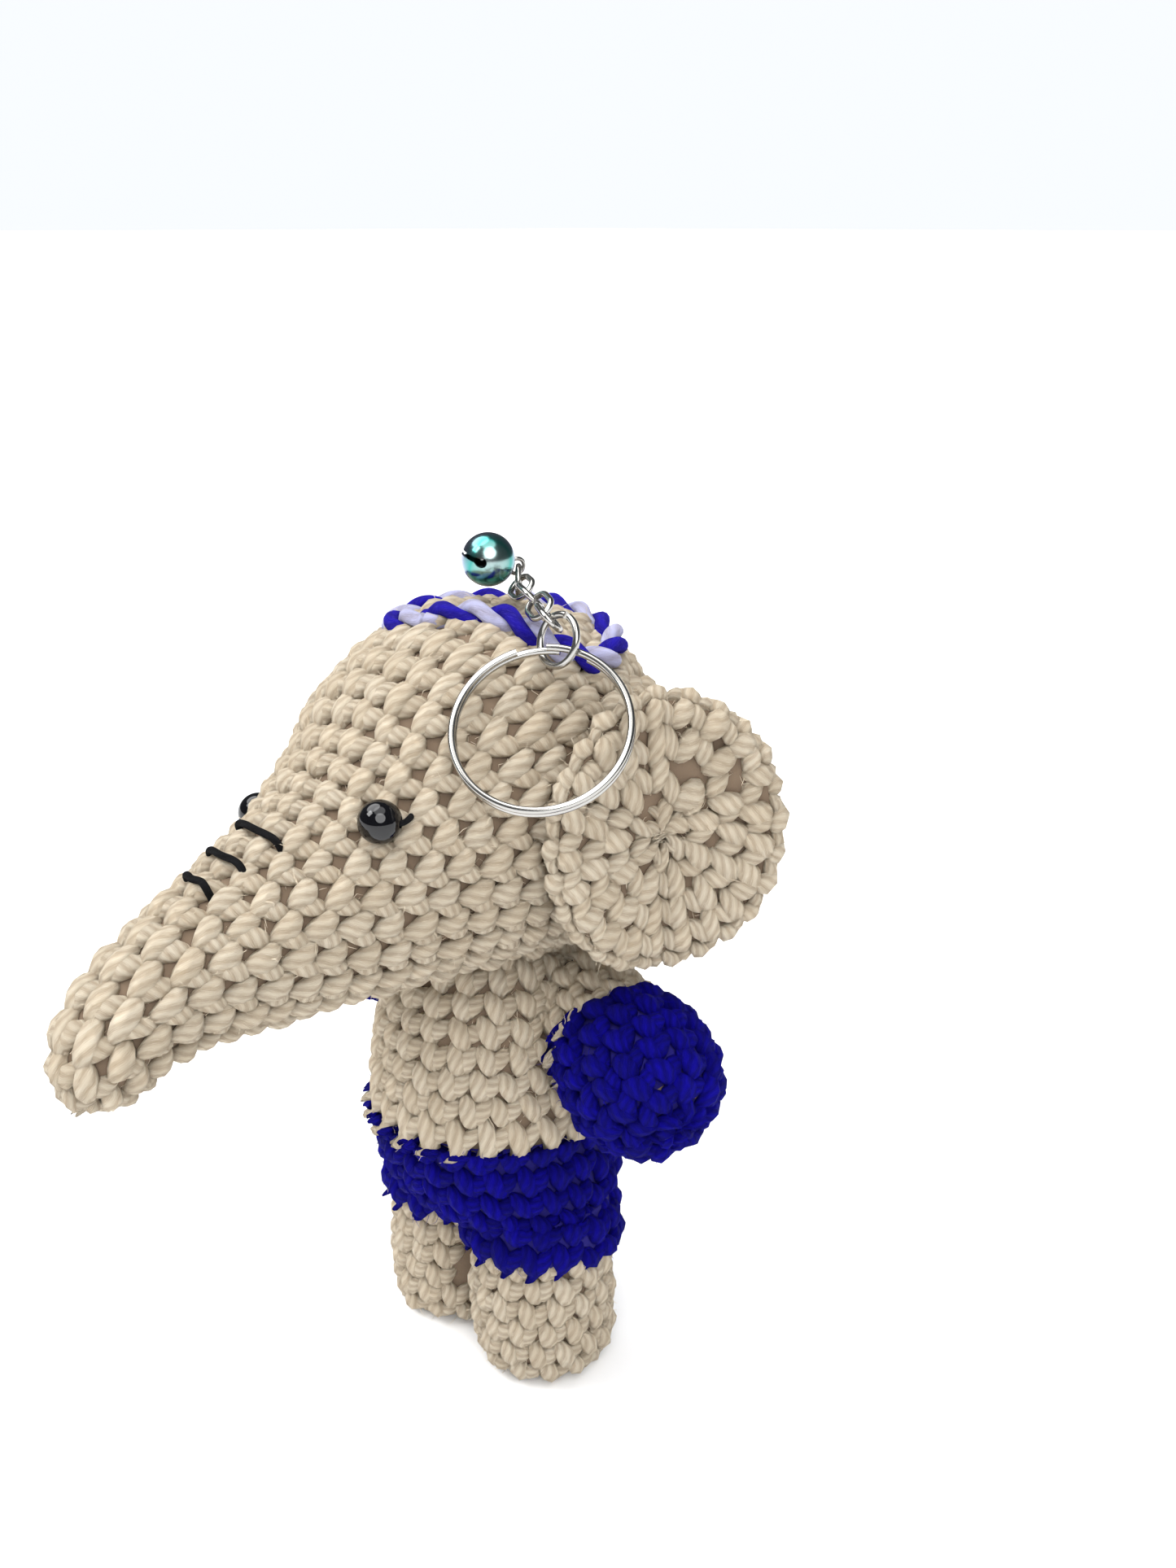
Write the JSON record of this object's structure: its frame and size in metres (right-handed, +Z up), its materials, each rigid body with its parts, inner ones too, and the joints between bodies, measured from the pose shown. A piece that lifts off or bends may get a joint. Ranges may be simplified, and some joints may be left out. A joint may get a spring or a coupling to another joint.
{
  "type": "stuffed toy keychain",
  "caption": "Small crocheted stuffed elephant in boxer's gloves, shorts and headband, with a bell and a key ring on a short chain.",
  "frame": {"origin": "on the floor under the middle of the object's outline", "axes": "+Z up, -Y towards the tip of the trunk, +X towards the elephant's left side"},
  "size_m": [0.0887, 0.1044, 0.1362],
  "materials": {
    "cream_yarn": "soft crocheted yarn",
    "royal_blue_yarn": "soft crocheted yarn",
    "twisted_cord": "two twisted strands, one pale lilac and one blue",
    "black_thread": "cotton thread",
    "black_bead": "glossy",
    "nickel_plate": "bright plated wire",
    "bell_plate": "bright plated shell with a faint green tint",
    "fibre_filling": "loose fibre"
  },
  "bodies": {
    "elephant": {"head_and_trunk": "cream_yarn", "head_stuffing": "fibre_filling", "left_eye_bead": "black_bead", "right_eye_bead": "black_bead", "eye_threads": "black_thread", "trunk_wrinkle_stitches": "black_thread", "headband_cord": "twisted_cord", "torso": "cream_yarn", "shorts": "royal_blue_yarn", "left_leg": "cream_yarn", "right_leg": "cream_yarn", "body_stuffing": "fibre_filling", "crown_ring": "nickel_plate"},
    "left_ear": {"left_ear": "cream_yarn"},
    "right_ear": {"right_ear": "cream_yarn"},
    "left_arm": {"left_sleeve": "cream_yarn", "left_glove": "royal_blue_yarn", "left_arm_stuffing": "fibre_filling"},
    "right_arm": {"right_sleeve": "cream_yarn", "right_glove": "royal_blue_yarn", "right_arm_stuffing": "fibre_filling"},
    "chain_link_1": {"chain_link_1": "nickel_plate"},
    "chain_link_2": {"chain_link_2": "nickel_plate"},
    "chain_link_3": {"chain_link_3": "nickel_plate"},
    "chain_link_4": {"chain_link_4": "nickel_plate"},
    "jump_ring": {"jump_ring": "nickel_plate"},
    "key_ring": {"key_ring": "nickel_plate"},
    "bell": {"bell_shell": "bell_plate", "bell_loop": "nickel_plate"},
    "bell_ball": {"bell_ball": "nickel_plate"}
  },
  "joints": [
    {"name": "left_ear_flap", "type": "hinge", "parent": "elephant", "child": "left_ear", "pos_m": [0.0309, 0.02415, 0.1156], "axis": [-0.1663, -0.6575, -0.7349], "range_deg": [0, 12], "stiffness_Nm_per_rad": 0.02},
    {"name": "right_ear_flap", "type": "hinge", "parent": "elephant", "child": "right_ear", "pos_m": [-0.0313, 0.03365, 0.1146], "axis": [-0.0141, 0.6781, 0.7349], "range_deg": [0, 12], "stiffness_Nm_per_rad": 0.02},
    {"name": "left_arm_lift", "type": "hinge", "parent": "elephant", "child": "left_arm", "pos_m": [0.0141, 0.02615, 0.073], "axis": [-0.2788, -0.9603, 0], "range_deg": [0, 10], "stiffness_Nm_per_rad": 0.06},
    {"name": "right_arm_lift", "type": "hinge", "parent": "elephant", "child": "right_arm", "pos_m": [-0.0156, 0.02895, 0.0742], "axis": [-0.2788, 0.9603, 0], "range_deg": [0, 10], "stiffness_Nm_per_rad": 0.06},
    {"name": "chain_link_1_swing", "type": "hinge", "parent": "elephant", "child": "chain_link_1", "pos_m": [0.00296, 0.02409, 0.1286], "axis": [0, 0, -1], "range_deg": [0, 8]},
    {"name": "chain_link_2_swing", "type": "hinge", "parent": "chain_link_1", "child": "chain_link_2", "pos_m": [0.00692, 0.02209, 0.12842], "axis": [-0.3449, -0.6195, -0.7052], "range_deg": [0, 55]},
    {"name": "chain_link_3_swing", "type": "hinge", "parent": "chain_link_2", "child": "chain_link_3", "pos_m": [0.01095, 0.02005, 0.12806], "axis": [-0.2689, -0.6571, 0.7042], "range_deg": [0, 8]},
    {"name": "chain_link_4_swing", "type": "hinge", "parent": "chain_link_3", "child": "chain_link_4", "pos_m": [0.01496, 0.01801, 0.12752], "axis": [-0.3958, -0.591, -0.7028], "range_deg": [0, 30]},
    {"name": "jump_ring_swing", "type": "hinge", "parent": "chain_link_4", "child": "jump_ring", "pos_m": [0.01895, 0.01597, 0.12684], "axis": [-0.226, -0.6758, 0.7015], "range_deg": [0, 8]},
    {"name": "key_ring_swing", "type": "hinge", "parent": "jump_ring", "child": "key_ring", "pos_m": [0.02254, 0.01435, 0.12261], "axis": [-0.782, -0.1632, -0.6016], "range_deg": [0, 11]},
    {"name": "bell_swing", "type": "hinge", "parent": "elephant", "child": "bell", "pos_m": [0.0014, 0.02565, 0.1308], "axis": [0.7071, -0.7071, 0], "range_deg": [-30, 0]},
    {"name": "bell_ball_rattle", "type": "slide", "parent": "bell", "child": "bell_ball", "axis": [0.2988, 0.9063, -0.2988], "range_m": [0, 0.0018]}
  ]
}
